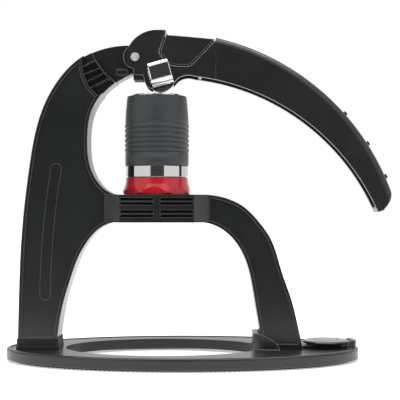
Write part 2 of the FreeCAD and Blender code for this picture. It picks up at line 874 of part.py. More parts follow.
def lever_outline():
    """The side view of the lever, clockwise from the corner below the pivot."""
    def rel(dx, dz):
        return from_pivot(dx, dz)

    corner = rel(-1.2, -14.1)
    lobe_start = rel(-1.2, -math.sqrt(lobe_radius**2 - 1.2**2))
    lobe_end = rel(-5.1, 7.66)
    hood_top = rel(17.7, 21.3)
    saddle_run = saddle_line()
    start = (handle_start, handle_rise)
    end = handle_end()
    middle = (handle_start + nose_x) / 2
    under = (heel_x + lip_along) / 2
    lip = rel(lip_along, -lip_drop)
    flat_right = on_yoke(7.0, -7.5)
    flat_left = on_yoke(-9.4, -7.5)
    return [straight(corner, lobe_start), arc(lobe_start, rel(-lobe_radius, 0), lobe_end),
            arc(lobe_end, rel(-1.0, 13.5), hood_top),
            straight(hood_top, rel(24.2, 21.2)), straight(rel(24.2, 21.2), rel(24.4, 19.0)),
            straight(rel(24.4, 19.0), saddle_run[0]), curve(saddle_run),
            straight(saddle_run[-1], rel(*start)),
            arc(rel(*start), rel(middle, top_arc_z(middle)), rel(*end[0])),
            curve([rel(*place) for place in end]),
            arc(rel(*end[3]), rel(end[3][0] - 2.7, end[3][1] - 2.7), rel(heel_x, bottom_arc_z(heel_x))),
            arc(rel(heel_x, bottom_arc_z(heel_x)), rel(under, bottom_arc_z(under)), lip),
            curve([lip, rel(40.4, -14.2), rel(35.4, -15.6), rel(31.2, -19.4)]),
            straight(rel(31.2, -19.4), flat_right), straight(flat_right, flat_left),
            arc(flat_left, from_pin(215, pin_lobe_radius), from_pin(188, pin_lobe_radius)),
            straight(from_pin(188, pin_lobe_radius), rel(6.2, -14.1)), straight(rel(6.2, -14.1), corner)]


def lever_plan(inset, low_x, high_x):
    """The top view of the lever: parallel sides, then a slow taper along the handle."""
    wide = half_lever - inset
    slim = lever_end_width / 2 - inset
    bend = pivot_x + handle_start
    tip = pivot_x + lever_reach + 10
    corners = [(low_x, -wide), (bend, -wide), (tip, -slim), (tip, slim), (bend, wide), (low_x, wide)]
    return plan_prism(corners, 0, far).common(block(low_x, high_x, -far, far, 0, far))


def lever_hollow():
    """The inside of the lever: an open channel, clear round the tongue and the yoke's foot."""
    def rel(dx, dz):
        return from_pivot(dx, dz)

    inner_end = lever_reach - 6.4
    middle = (handle_start + inner_end) / 2

    def roof(dx):
        return arc_z(dx, top_arc_centre(), top_arc_radius - lever_wall)

    def floor(dx):
        return bottom_arc_z(dx) - 12

    last = inner_end - 6.2
    edges = [straight(rel(-16, -40), rel(-16, 40)), straight(rel(-16, 40), rel(7.4, 40)),
             straight(rel(7.4, 40), rel(8.9, 18.0)), straight(rel(8.9, 18.0), rel(20.4, 18.0)),
             straight(rel(20.4, 18.0), rel(22.4, 11.3)),
             curve([rel(22.4, 11.3), rel(39.4, 10.4), rel(handle_start, roof(handle_start) - 2.2)]),
             straight(rel(handle_start, roof(handle_start) - 2.2), rel(handle_start, roof(handle_start))),
             arc(rel(handle_start, roof(handle_start)), rel(middle, roof(middle)),
                 rel(inner_end, roof(inner_end))),
             curve([rel(inner_end, roof(inner_end)), rel(inner_end + 2.0, roof(inner_end) - 7),
                    rel(inner_end - 1.2, roof(inner_end) - 14.5), rel(last, roof(inner_end) - 21)]),
             straight(rel(last, roof(inner_end) - 21), rel(last - 12, floor(last - 12))),
             arc(rel(last - 12, floor(last - 12)), rel(90, floor(90)), rel(46, floor(46))),
             straight(rel(46, floor(46)), rel(46, -40)), straight(rel(46, -40), rel(-16, -40))]
    hollow = slab(edges, -far, far)
    hollow = hollow.common(lever_plan(lever_wall, pivot_x - 20, far))
    return hollow.cut(cross_ribs())


def cross_ribs():
    """Thin webs across the channel, square to the lever's run."""
    ribs = []
    centre = from_pivot(*bottom_arc_centre())
    first = handle_start + 21.1
    last = lever_reach - 24.4
    places = [(lip_along + 4.1, 0.4)] + [(first + (last - first) * index / 3, 3.0) for index in range(4)]
    for dx, rise in places:
        low = from_pivot(dx, bottom_arc_z(dx))
        lean = math.degrees(math.atan2(low[0] - centre[0], low[1] - centre[1]))
        rib = block(-rib_wall / 2, rib_wall / 2, -far, far, rise, 40)
        rib.rotate(FreeCAD.Vector(0, 0, 0), FreeCAD.Vector(0, 1, 0), lean)
        ribs.append(rib.translated(FreeCAD.Vector(low[0], 0, low[1])))
    return ribs


def saddle_area(gap):
    """The outline of the saddle's seat on the lever, drawn in by a gap all round."""
    corners = [from_pivot(25.6, 30), from_pivot(23.4, 18.2), from_pivot(18.9, 5.7), from_pivot(18.9, 2.7),
               from_pivot(21.9, -1.3), from_pivot(26.9, -5.7), from_pivot(29.9, -7.0),
               from_pivot(41.1, -7.5), from_pivot(44.2, -6.3), from_pivot(63.4, 13.6), from_pivot(64, 30)]
    face = Part.Face(Part.Wire(chain(corners + corners[:1])))
    if gap > 0:
        face = face.makeOffset2D(-gap)
    face.translate(FreeCAD.Vector(0, -far, 0))
    return face.extrude(FreeCAD.Vector(0, 2 * far, 0))


def saddle_core(grow):
    """The part of the lever that the saddle sits astride."""
    half = half_lever - saddle_sink + grow
    drop = saddle_top - grow
    run = [from_pivot(15, 18.2)] + saddle_line() + [from_pivot(72, 12.7)]
    run = [(x, z - drop) for x, z in run]
    top = curve(run)
    sides = chain([run[-1], from_pivot(72, -40), from_pivot(15, -40), run[0]])
    return slab([top] + sides, -half, half)


def lever_arm():
    outline = lever_outline()
    body = slab(outline, -half_lever, half_lever)
    split = pivot_x + handle_start
    front = body.common(block(-far, split, -far, far, 0, far))
    handle = rounded_blank().common(body).common(block(split, far, -far, far, 0, far))
    seat = saddle_area(0).cut(saddle_core(0.0))
    front = front.cut(seat)
    body = front.fuse(handle).cut(lever_hollow())
    holes_across = [cross_bar((pivot_x, pivot_z), pin_radius + 0.02, -far, far),
                    cross_bar((pin_x, pin_z), pin_radius + slide_gap, -far, far)]
    return body.cut(holes_across + both_sides(hood_facet())).removeSplitter()


def hood_facet():
    """What is taken off one cheek of the hood so that it slopes in from a crease up to the saddle."""
    first = (1.4, 15.4)
    last = (19.2, -0.2)
    outside = block(-far, far, -far, 0, 0, far)
    outside.rotate(FreeCAD.Vector(0, 0, 0), FreeCAD.Vector(1, 0, 0), -hood_facet_angle)
    crease_angle = math.degrees(math.atan2(first[1] - last[1], last[0] - first[0]))
    outside.rotate(FreeCAD.Vector(0, 0, 0), FreeCAD.Vector(0, 1, 0), crease_angle)
    start = from_pivot(*first)
    outside.translate(FreeCAD.Vector(start[0], -half_lever, start[1]))
    area = [from_pivot(*place) for place in (first, last, (18.9, 2.7), (18.9, 5.7), (23.4, 18.2),
                                             (25.6, 30), (-5, 30))]
    return outside.common(polygon_slab(area, -far, 0))


def rounded_blank():
    """The handle before its ends are cut: a tapered bar swept round the top arc, top edges rounded."""
    along, down = top_arc_centre()
    centre = from_pivot(along, down)
    first = math.asin((handle_start - along) / top_arc_radius) - 0.01
    last = math.asin((lever_reach + 4 - along) / top_arc_radius)
    count = 7
    sections = []
    for index in range(count):
        turn = first + (last - first) * index / (count - 1)
        share = (along + top_arc_radius * math.sin(turn) - handle_start) / (lever_reach - handle_start)
        half = half_lever + (lever_end_width / 2 - half_lever) * share
        section = handle_section(half)
        section.rotate(FreeCAD.Vector(0, 0, 0), FreeCAD.Vector(0, 1, 0), math.degrees(turn))
        section.translate(FreeCAD.Vector(centre[0], 0, centre[1]))
        sections.append(section)
    return Part.makeLoft(sections, True, False)


def handle_section(half):
    """A tall section with two rounded top corners, standing on the top arc's centre."""
    top = top_arc_radius
    low = top - 60
    bend = handle_round * (1 - math.sqrt(0.5))
    inner = half - handle_round
    side = top - handle_round

    def at(y, z):
        return FreeCAD.Vector(0, y, z)

    return Part.Wire([
        Part.LineSegment(at(-half, low), at(-half, side)).toShape(),
        Part.Arc(at(-half, side), at(bend - half, top - bend), at(-inner, top)).toShape(),
        Part.LineSegment(at(-inner, top), at(inner, top)).toShape(),
        Part.Arc(at(inner, top), at(half - bend, top - bend), at(half, side)).toShape(),
        Part.LineSegment(at(half, side), at(half, low)).toShape(),
        Part.LineSegment(at(half, low), at(-half, low)).toShape()])


def lever_saddle():
    """The smooth saddle that covers the lever behind its hood."""
    skin = saddle_area(saddle_gap).cut(saddle_core(fit_gap))
    outer = slab(lever_outline(), -half_lever + 0.2, half_lever - 0.2)
    lower = FreeCAD.Vector(0, 0, -0.2)
    return skin.common(outer.translated(lower)).removeSplitter()


def grip_studs():
    """Small soft studs, an even way apart along the top of the handle."""
    along, down = top_arc_centre()
    centre = from_pivot(along, down)
    end = math.asin((lever_reach - stud_inset - along) / top_arc_radius)
    studs = []
    for index in range(stud_count):
        turn = end - index * stud_pitch / top_arc_radius
        stud = Part.makeCylinder(stud_round, stud_height, FreeCAD.Vector(0, 0, top_arc_radius))
        tip = top_arc_radius + stud_height - 0.1
        stud = stud.makeFillet(0.7, edges_near(stud, lambda m, e: m.z > tip))
        stud.rotate(FreeCAD.Vector(0, 0, 0), FreeCAD.Vector(0, 1, 0), math.degrees(turn))
        studs.append(stud.translated(FreeCAD.Vector(centre[0], 0, centre[1])))
    return studs


def lever_stop():
    """The soft block between the lever's cheeks that meets the tongue's heel."""
    low = from_pivot(-1.5, -17.4)
    high = from_pivot(6.2, -10.2)
    half = half_lever - lever_wall
    return block(low[0], high[0], -half, half, low[1], high[1])


def pivot_pin():
    place = (pivot_x, pivot_z)
    shaft = cross_bar(place, pin_radius, -half_lever, half_lever + 2.0)
    head = cross_bar(place, pin_head_radius, -half_lever - 0.9, -half_lever)
    head = head.makeFillet(0.4, edges_near(head, lambda m, e: m.y < -half_lever - 0.8))
    core = cross_bar(place, pin_radius - 0.6, -far, far)
    groove = cross_bar(place, pin_radius + 1, *clip_span()).cut(core)
    return shaft.fuse(head).cut(groove)


def clip_span():
    return half_lever + 0.3, half_lever + 1.1


def pivot_clip():
    """The open ring that keeps the pivot pin in."""
    place = (pivot_x, pivot_z)
    hole = cross_bar(place, pin_radius - 0.58, -far, far)
    ring = cross_bar(place, pin_radius + 2.2, *clip_span()).cut(hole)
    mouth = block(place[0] - 1.8, place[0] + 1.8, -far, far, place[1] - far, place[1])
    return ring.cut(mouth)


def pivot_bushes():
    """Two flanged bushes pressed into the tongue."""
    place = (pivot_x, pivot_z)
    tube = cross_bar(place, pin_radius + bush_wall - 0.02, -half_tongue, -0.2)
    flange = cross_bar(place, flange_radius, -half_tongue - flange_thickness, -half_tongue)
    bush = tube.fuse(flange).cut(cross_bar(place, pin_radius + slide_gap, -far, far))
    return both_sides(bush)


# Yoke


def plate_profile():
    """The plate's section across its length: a flat face between two curved bands."""
    inner = -half_lever - loose_gap
    front = inner - plate_thickness
    high = plate_above_pin
    low = high - plate_height
    flat_top = high - plate_top_band
    flat_low = flat_top - (plate_height - plate_top_band - plate_low_band) * 0.69
    low_start = flat_low - plate_low_band

    def at(y, z):
        return FreeCAD.Vector(0, y, z)

    top = Part.Arc(at(front, flat_top), at(front + 1.0, high - 1.7), at(front + plate_top_back, high))
    band = Part.Arc(at(front + plate_low_back, low_start), at(front + 0.8, (flat_low + low_start) / 2),
                    at(front, flat_low))
    under = Part.Arc(at(inner - 0.4, low), at(front + plate_low_back + 0.9, (low_start + low) / 2 - 0.3),
                     at(front + plate_low_back, low_start))
    places = [at(front + plate_top_back, high), at(inner, high), at(inner, low), at(inner - 0.4, low)]
    lines = [Part.LineSegment(a, b).toShape() for a, b in zip(places, places[1:])]
    flat = Part.LineSegment(at(front, flat_low), at(front, flat_top)).toShape()
    return Part.Face(Part.Wire([top.toShape()] + lines + [under.toShape(), band.toShape(), flat]))


def yoke_plate():
    """One polished plate outside the lever's cheek, with ridges at its rear."""
    inner = -half_lever - loose_gap
    front = inner - plate_thickness
    low_x = plate_shift - plate_length / 2
    face = plate_profile()
    face.translate(FreeCAD.Vector(low_x, 0, 0))
    plate = face.extrude(FreeCAD.Vector(plate_length, 0, 0))
    ends = plate_length / 2 - 0.1
    sides = edges_near(plate, lambda m, e: m.y < front + 0.1 and abs(m.x - plate_shift) > ends)
    plate = plate.makeChamfer(plate_edge, sides)
    ridges = []
    for index in range(ridge_count):
        middle = plate_above_pin - plate_height + 5.2 + index * ridge_pitch
        ridges.append(cross_bar((low_x, middle), ridge_round, front + 1.6, inner))
    return lean_on_pin(plate.fuse(ridges))


def lean_on_pin(solid):
    turned_solid = solid.copy()
    turned_solid.rotate(FreeCAD.Vector(0, 0, 0), FreeCAD.Vector(0, 1, 0), -yoke_lean)
    return turned_solid.translated(FreeCAD.Vector(pin_x, 0, pin_z))


def yoke_plates():
    near = yoke_plate()
    plates = both_sides(near)
    blind = cross_bar((pin_x, pin_z), pin_radius + 0.02, -half_lever - 3.0, far)
    return [plate.cut(blind) for plate in plates]


def yoke_foot():
    """The press foot between the lever's cheeks, with a round sole on the plunger."""
    half = half_lever - lever_wall - loose_gap
    side = plate_length / 2 - 0.25
    disc = cross_bar((0, 0), press_foot_radius, -half, half)
    foot = disc.common(block(-side, side, -far, far, -far, plate_above_pin - plate_top_band))
    return lean_on_pin(foot).cut(cross_bar((pin_x, pin_z), pin_radius + 0.02, -far, far))


def yoke_pin():
    inner = half_lever + loose_gap + plate_thickness
    bar = cross_bar((pin_x, pin_z), pin_radius, -half_lever - 2.9, inner)
    return bar.cut(block(pin_x - 0.4, pin_x + 0.4, inner - 0.8, far, 0, far))


def build():
    os.makedirs("parts", exist_ok=True)
    save("base_ring", base_ring())
    save("rubber_foot_ring", foot_ring(0.0, 0.0))
    save("rear_shoe", rear_shoe())
    save("frame_casting", frame_casting())
    save("knob_insert", threaded_insert())
    save("knob_washer", knob_washer())
    save("lock_knob", lock_knob())
    save("knob_stud", knob_stud())
    save("portafilter_holder", portafilter_holder())
    save("portafilter_basket", portafilter_basket())
    save("basket_gasket", basket_gasket())
    save("dispersion_screen", dispersion_screen())
    save("screen_seal", screen_seal())
    save("brew_cylinder", brew_cylinder())
    save("silicone_sleeve", silicone_sleeve())
    save("cylinder_cap", cylinder_cap())
    save("piston", piston())
    save("piston_seals", *piston_seals())
    save("plunger_stem", plunger_stem())
    save("plunger_button", plunger_button())
    save("lever_arm", lever_arm())
    save("lever_saddle", lever_saddle())
    save("grip_studs", *grip_studs())
    save("lever_stop", lever_stop())
    save("pivot_pin", pivot_pin())
    save("pivot_clip", pivot_clip())
    save("pivot_bushes", *pivot_bushes())
    save("yoke_plates", *yoke_plates())
    save("yoke_foot", yoke_foot())
    save("yoke_pin", yoke_pin())


build()
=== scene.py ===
import json
import math

import bmesh
import bpy
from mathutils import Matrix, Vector

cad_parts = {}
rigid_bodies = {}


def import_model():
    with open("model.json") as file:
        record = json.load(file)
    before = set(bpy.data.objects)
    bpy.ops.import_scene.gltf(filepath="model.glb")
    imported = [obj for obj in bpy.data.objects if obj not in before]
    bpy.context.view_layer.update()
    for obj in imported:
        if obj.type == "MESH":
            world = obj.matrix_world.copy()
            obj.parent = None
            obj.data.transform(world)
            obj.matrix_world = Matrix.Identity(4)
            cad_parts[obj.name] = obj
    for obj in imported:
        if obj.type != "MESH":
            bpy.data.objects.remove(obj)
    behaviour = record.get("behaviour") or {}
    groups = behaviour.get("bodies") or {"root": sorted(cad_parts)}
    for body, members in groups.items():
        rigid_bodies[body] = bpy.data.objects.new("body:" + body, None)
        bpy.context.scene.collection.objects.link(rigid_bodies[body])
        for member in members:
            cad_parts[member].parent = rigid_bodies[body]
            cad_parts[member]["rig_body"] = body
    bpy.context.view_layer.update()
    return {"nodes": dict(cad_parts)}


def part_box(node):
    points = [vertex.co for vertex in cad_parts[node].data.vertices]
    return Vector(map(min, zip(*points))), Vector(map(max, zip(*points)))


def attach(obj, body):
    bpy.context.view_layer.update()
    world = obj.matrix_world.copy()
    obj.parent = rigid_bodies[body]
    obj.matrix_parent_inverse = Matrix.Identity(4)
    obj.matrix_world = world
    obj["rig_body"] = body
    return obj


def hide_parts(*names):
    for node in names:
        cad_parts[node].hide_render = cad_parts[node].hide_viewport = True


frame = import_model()

# A hand lever press for coffee in a white studio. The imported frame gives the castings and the
# steel pieces. The soft pieces are made here, and every finish is made from nodes.
# Metres. X runs along the press, Y through it, Z up.

MM = 0.001

# How many straight pieces the round forms are drawn with: the grip and the foot strip, the seals
# and their cord, and the oval that the treads follow
ROUND_SEGMENTS = 160
SEAL_SEGMENTS = 96
CORD_SEGMENTS = 16
OVAL_SEGMENTS = 256

# Corners closer than this are one, faces that turn less than this are one flat face, and an edge
# that turns more than this is rounded, in so many steps
WELD_WITHIN = 0.01 * MM
FLAT_WITHIN = math.radians(1.0)
ROUNDED_PAST = math.radians(35)
EDGE_STEPS = 3

# An edge's round turns the surface. Its lighter colour, partly wear and partly a painted highlight,
# begins and is full where the cosine of that turn is this, and the least lightened patches have this share
# of it.
WEAR_AND_HIGHLIGHT_TURN = (0.945, 0.83)
WEAR_AND_HIGHLIGHT_LEAST = 0.45
# The levels between which a noise texture spreads
NOISE_SPREAD = (0.3, 0.7)

# The rubber strip under the base
STRIP_WIDTH = 6.0 * MM
STRIP_ROUND = 0.6 * MM
# Where a rounded corner's middle lies, as a share of its radius from both of its walls
STRIP_KNEE = 0.3
TREAD_COUNT = 180
TREAD_WIDTH = 0.9 * MM
TREAD_DEPTH = 0.35 * MM
# How far each tread reaches up into the strip
TREAD_SUNK = 0.1 * MM

# The silicone grip. Its beads stand proud of the wall, with grooves between them that are deeper
# than the wall. Above them the wall draws in towards a rounded shoulder.
GRIP_RINGS = 6
GRIP_PITCH = 3.76 * MM
GRIP_BEAD = 0.45 * MM
GRIP_GROOVE = 0.85 * MM
GRIP_RINGS_DOWN = 21.6 * MM
GRIP_SHOULDER = 1.4 * MM
GRIP_TOP_INSET = 0.5 * MM
GRIP_DRAWN_IN = 1.5 * MM
# How late the wall draws in, where 1 is a straight cone
GRIP_DRAW_BEND = 1.6
# The foot's rounded edge, inwards and upwards, and the plain wall above and below the beads
GRIP_FOOT_ROUND = (0.4 * MM, 0.5 * MM)
GRIP_LEDGE = 0.3 * MM
# How many straight pieces each bead and each length of wall are drawn with
BEAD_STEPS = 12
WALL_STEPS = 8

# The cylinder under it, and how close the grip lies to it
TUBE_RADIUS = 21.0 * MM
GRIP_FIT = 0.15 * MM

# The piston's O-rings
PISTON_CORD = 1.3 * MM

# The camera, worked out from the photograph: where it stands, and how far it is zoomed in
CAMERA_PLACE = (1.2 * MM, -900.0 * MM, 122.0 * MM)
CAMERA_LENS_MM = 102.5
CAMERA_FILM_MM = 36.0
# How many pixels the photograph is wide, and how many its horizon lies below its middle
PHOTO_PIXELS = 400
HORIZON_PIXELS = 5

# How bright the parts of the studio are, where 1 is white, and where its back begins, by the Y
# of the direction that one looks in
STUDIO_DARK = 0.07
STUDIO_BACK = 0.95
BACK_BEGINS = (0.20, 0.34)

# The white floor. Near the press its own light and shadow show, and further out it is lifted to
# white. In reflections the paper ends in front of the press.
FLOOR_REACH = 8.0
FLOOR_LIFT = (0.47, 1.0)
FLOOR_LIFT_AWAY = (0.25, 0.75)
FLOOR_FRONT_EDGE = (-0.25, -0.38)

# The two side lamps: how far they stand from the brewing head, and how high
SIDE_LAMP_AWAY = 1.1
SIDE_LAMP_HEIGHT = 0.45
SIDE_LAMP_TALL = 1.3
SIDE_LAMP_LEVEL = 0.95


# Finishes


def linear(colour):
    """An sRGB hex colour as the linear colour that the shaders take."""
    parts = [int(colour[place:place + 2], 16) / 255 for place in (1, 3, 5)]
    return tuple(p / 12.92 if p <= 0.04045 else ((p + 0.055) / 1.055) ** 2.4 for p in parts) + (1.0,)


def add_node(tree, kind, sockets=None, **settings):
    """Adds a node. A socket is linked when it is given another node's output, and set otherwise."""
    node = tree.nodes.new(kind)
    for name, value in settings.items():
        setattr(node, name, value)
    for name, value in (sockets or {}).items():
        if isinstance(value, bpy.types.NodeSocket):
            tree.links.new(value, node.inputs[name])
        else:
            node.inputs[name].default_value = value
    return node


def empty_material(name):
    """A new material and its empty node tree."""
    material = bpy.data.materials.new(name)
    material.use_nodes = True
    material.node_tree.nodes.clear()
    return material, material.node_tree


def ramp(tree, value, start_end, low_high):
    """Goes straight from one level to another as the value goes from start to end."""
    start, end = start_end
    low, high = low_high
    return add_node(tree, "ShaderNodeMapRange",
                    {"Value": value, "From Min": start, "From Max": end,
                     "To Min": low, "To Max": high}).outputs["Result"]


def edge_wear_and_highlight(tree, rounded, patches):
    """How far an edge is lightened, from 0 to 1, as wear and as a painted highlight: where its round turns
    the surface, by patches.
    """
    flat = add_node(tree, "ShaderNodeNewGeometry").outputs["Normal"]
    bend = add_node(tree, "ShaderNodeVectorMath", {0: rounded, 1: flat}, operation="DOT_PRODUCT")
    edge = ramp(tree, bend.outputs["Value"], WEAR_AND_HIGHLIGHT_TURN, (0.0, 1.0))
    patchy = ramp(tree, patches, NOISE_SPREAD, (WEAR_AND_HIGHLIGHT_LEAST, 1.0))
    return add_node(tree, "ShaderNodeMath", {0: edge, 1: patchy}, operation="MULTIPLY").outputs["Value"]


def finish(name, colours, roughness, patch_mm, grain_mm, grain_depth_mm, edge_mm=0.5, wear_and_highlight=None,
           stretch=(1, 1, 1), **shader):
    """A surface of two near colours in soft patches, with its own grain and rounded edges that can be
    lightened, as wear and as a painted highlight.

    patch_mm is how wide the patches are, grain_mm how far apart the grain's bumps are and
    grain_depth_mm how high. stretch draws the grain out, as turning or brushing does. edge_mm is
    the small round that every cast or moulded edge has. The edge colour is painted on that round:
    partly the wear that handling brings out, partly a painted highlight of the light it catches.
    """
    material, tree = empty_material(name)
    place = add_node(tree, "ShaderNodeTexCoord").outputs["Object"]
    drawn = add_node(tree, "ShaderNodeMapping", {"Vector": place, "Scale": stretch}).outputs["Vector"]
    patches = add_node(tree, "ShaderNodeTexNoise",
                       {"Vector": place, "Scale": 1 / (patch_mm * MM), "Detail": 3.0,
                        "Roughness": 0.6}).outputs["Fac"]
    grain = add_node(tree, "ShaderNodeTexNoise",
                     {"Vector": drawn, "Scale": 1 / (grain_mm * MM), "Detail": 2.0,
                      "Roughness": 0.5}).outputs["Fac"]
    # Sockets 0, 6 and 7 of a colour mix are its factor and its two colours.
    colour = add_node(tree, "ShaderNodeMix", {0: patches, 6: linear(colours[0]), 7: linear(colours[1])},
                      data_type="RGBA").outputs[2]
    rough = ramp(tree, patches, NOISE_SPREAD, roughness)
    rounded = add_node(tree, "ShaderNodeBevel", {"Radius": edge_mm * MM}, samples=8).outputs["Normal"]
    # The edge colour is painted on every rounded edge, partly as wear and partly as a painted highlight.
    if wear_and_highlight:
        rubbed_and_lit = edge_wear_and_highlight(tree, rounded, patches)
        colour = add_node(tree, "ShaderNodeMix", {0: rubbed_and_lit, 6: colour, 7: linear(wear_and_highlight)},
                          data_type="RGBA").outputs[2]
    relief = add_node(tree, "ShaderNodeBump", {"Height": grain, "Distance": grain_depth_mm * MM,
                                               "Strength": 1.0, "Normal": rounded}).outputs["Normal"]
    surface = add_node(tree, "ShaderNodeBsdfPrincipled",
                       {"Base Color": colour, "Roughness": rough, "Normal": relief, **shader})
    add_node(tree, "ShaderNodeOutputMaterial", {"Surface": surface.outputs["BSDF"]})
    return material


# Baked powder scatters what it mirrors, so its mirror is weaker than a smooth lacquer's. The
# resin's own skin is smooth, and shows at a glancing angle.
POWDER = {"IOR": 1.5, "Specular IOR Level": 0.36, "Coat Weight": 0.35, "Coat Roughness": 0.14,
          "Coat IOR": 1.5}

# Powder coat on cast aluminium: satin, with the fine orange peel of the baked powder, and grey edges that
# are partly wear and partly a painted highlight.
frame_coat = finish("powder_coated_cast_aluminium", ("#121415", "#1B1D1F"), (0.34, 0.44),
                    patch_mm=45, grain_mm=1.2, grain_depth_mm=0.014, edge_mm=1.0, wear_and_highlight="#5E6164",
                    **POWDER)
# The base has the same coat, with paler grey edges: partly where hands and cups rub it, partly a painted
# highlight.
base_coat = finish("powder_coated_cast_base", ("#16181A", "#1F2123"), (0.34, 0.44),
                   patch_mm=45, grain_mm=1.2, grain_depth_mm=0.014, edge_mm=1.1, wear_and_highlight="#9A9DA0",
                   **POWDER)
# The lever's coat is finer and a warmer black, silky where the hand holds it. Its pale edges are partly
# wear and partly a painted highlight.
lever_coat = finish("satin_coated_cast_lever", ("#1C1C1E", "#252527"), (0.27, 0.35),
                    patch_mm=30, grain_mm=0.8, grain_depth_mm=0.008, edge_mm=1.0, wear_and_highlight="#BCBEC0",
                    IOR=1.5)
# Moulded nylon cover, matt from a spark-eroded mould, with pale edges that are partly wear and partly a
# painted highlight.
saddle_nylon = finish("moulded_black_nylon", ("#121415", "#191B1C"), (0.36, 0.44),
                      patch_mm=25, grain_mm=0.6, grain_depth_mm=0.010, edge_mm=0.9, wear_and_highlight="#BCBEC0",
                      IOR=1.53)
# The clamping knob is turned and hard coated, so it is slightly glossier than the frame. Its grey edges are
# partly wear and partly a painted highlight.
knob_coat = finish("coated_turned_knob", ("#1A1C1D", "#222425"), (0.24, 0.32),
                   patch_mm=20, grain_mm=0.9, grain_depth_mm=0.006, edge_mm=0.6, wear_and_highlight="#8E9193", IOR=1.5,
                   **{"Coat Weight": 0.5, "Coat Roughness": 0.1, "Coat IOR": 1.5})
# Nitrile rubber, dusty and matt.
foot_rubber = finish("moulded_nitrile_rubber", ("#131313", "#1B1B1A"), (0.62, 0.74),
                     patch_mm=12, grain_mm=0.5, grain_depth_mm=0.02, edge_mm=0.3, IOR=1.5)
# The seals are the same rubber, moulded smooth and wiped with grease, so they shine a little.
seal_rubber = finish("smooth_seal_rubber", ("#161616", "#1C1C1C"), (0.40, 0.50),
                     patch_mm=8, grain_mm=0.4, grain_depth_mm=0.006, edge_mm=0.2, IOR=1.5)
# Silicone rubber: a soft grey with a velvet bloom and a very fine moulded grain.
grip_silicone = finish("moulded_grey_silicone", ("#2F3234", "#373A3C"), (0.44, 0.54),
                       patch_mm=18, grain_mm=0.5, grain_depth_mm=0.008, edge_mm=0.3, IOR=1.43,
                       **{"Sheen Weight": 0.1, "Sheen Roughness": 0.4})
# Glossy polypropylene, dyed through, so that a little light spreads under its surface.
red_polypropylene = finish("moulded_red_polypropylene", ("#AC1622", "#B81D28"), (0.12, 0.2),
                           patch_mm=20, grain_mm=2.5, grain_depth_mm=0.006, edge_mm=0.6, IOR=1.49,
                           **{"Specular IOR Level": 0.5, "Subsurface Weight": 0.1,
                              "Subsurface Scale": 0.002})
# Stainless steel polished on a lathe: a mirror with faint rings round its axis.
polished_stainless = finish("polished_stainless_steel", ("#C6C5C2", "#D0CFCC"), (0.05, 0.09),
                            patch_mm=15, grain_mm=0.5, grain_depth_mm=0.0006, edge_mm=0.3,
                            stretch=(0.05, 0.05, 1), Metallic=1.0)
# Stainless steel as turned or pressed: the rings show and blur what it mirrors.
turned_stainless = finish("turned_stainless_steel", ("#B4B5B6", "#C2C3C4"), (0.22, 0.32),
                          patch_mm=10, grain_mm=0.4, grain_depth_mm=0.003, edge_mm=0.3,
                          stretch=(0.1, 0.1, 1), Metallic=1.0)
# The pivot pin is blasted and zinc plated: pale, mottled and nearly without a mirror.
blasted_zinc = finish("blasted_zinc_plate", ("#8C8D8E", "#EDEEEF"), (0.42, 0.58),
                      patch_mm=2.2, grain_mm=0.4, grain_depth_mm=0.012, edge_mm=0.5, Metallic=0.5)
# Chrome plate: bright, slightly cool, with the soft unevenness of the polished zinc under it.
chrome_plate = finish("bright_chrome_plate", ("#BDBEBF", "#D2D2D0"), (0.06, 0.14),
                      patch_mm=12, grain_mm=6.0, grain_depth_mm=0.012, edge_mm=0.6, Metallic=1.0)
# Turned brass: warm, with fine tool rings that blur what it mirrors.
knob_brass = finish("turned_brass", ("#B08D4A", "#C09B55"), (0.22, 0.3),
                    patch_mm=8, grain_mm=0.4, grain_depth_mm=0.003, edge_mm=0.2, stretch=(0.1, 0.1, 1),
                    Metallic=1.0)
# Natural acetal: milky off-white, with the soft sheen of a slippery plastic.
bush_acetal = finish("moulded_acetal", ("#D8D5C8", "#E0DDD2"), (0.35, 0.45),
                     patch_mm=10, grain_mm=0.6, grain_depth_mm=0.004, edge_mm=0.2, IOR=1.48)

finish_of = {
    "base_ring": base_coat, "frame_casting": frame_coat, "lever_arm": lever_coat,
    "lever_saddle": saddle_nylon, "lock_knob": knob_coat, "rubber_foot_ring": foot_rubber,
    "rear_shoe": foot_rubber, "lever_stop": foot_rubber, "grip_studs": foot_rubber,
    "basket_gasket": seal_rubber, "screen_seal": seal_rubber, "piston_seals": seal_rubber,
    "silicone_sleeve": grip_silicone, "portafilter_holder": red_polypropylene,
    "brew_cylinder": polished_stainless, "cylinder_cap": polished_stainless,
    "plunger_button": polished_stainless, "plunger_stem": polished_stainless,
    "portafilter_basket": turned_stainless, "dispersion_screen": turned_stainless,
    "piston": turned_stainless, "pivot_pin": blasted_zinc, "pivot_clip": turned_stainless,
    "knob_washer": turned_stainless, "knob_stud": turned_stainless,
    "yoke_plates": chrome_plate, "yoke_foot": chrome_plate, "yoke_pin": chrome_plate,
    "knob_insert": knob_brass, "pivot_bushes": bush_acetal,
}
for node, material in finish_of.items():
    mesh = frame["nodes"][node].data
    mesh.materials.clear()
    mesh.materials.append(material)


# Pieces made here


def middle_of(node):
    """The middle of a CAD node's box."""
    low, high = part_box(node)
    return (low + high) / 2


def piece_from(name, mesh, node):
    """A shown piece that stands for a CAD node and rides on the node's body."""
    mesh.name = name
    piece = bpy.data.objects.new(name, mesh)
    bpy.context.scene.collection.objects.link(piece)
    if not mesh.materials:
        mesh.materials.append(finish_of[node])
    owner = frame["nodes"][node]["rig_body"]
    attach(piece, owner)
    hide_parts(node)
    return piece


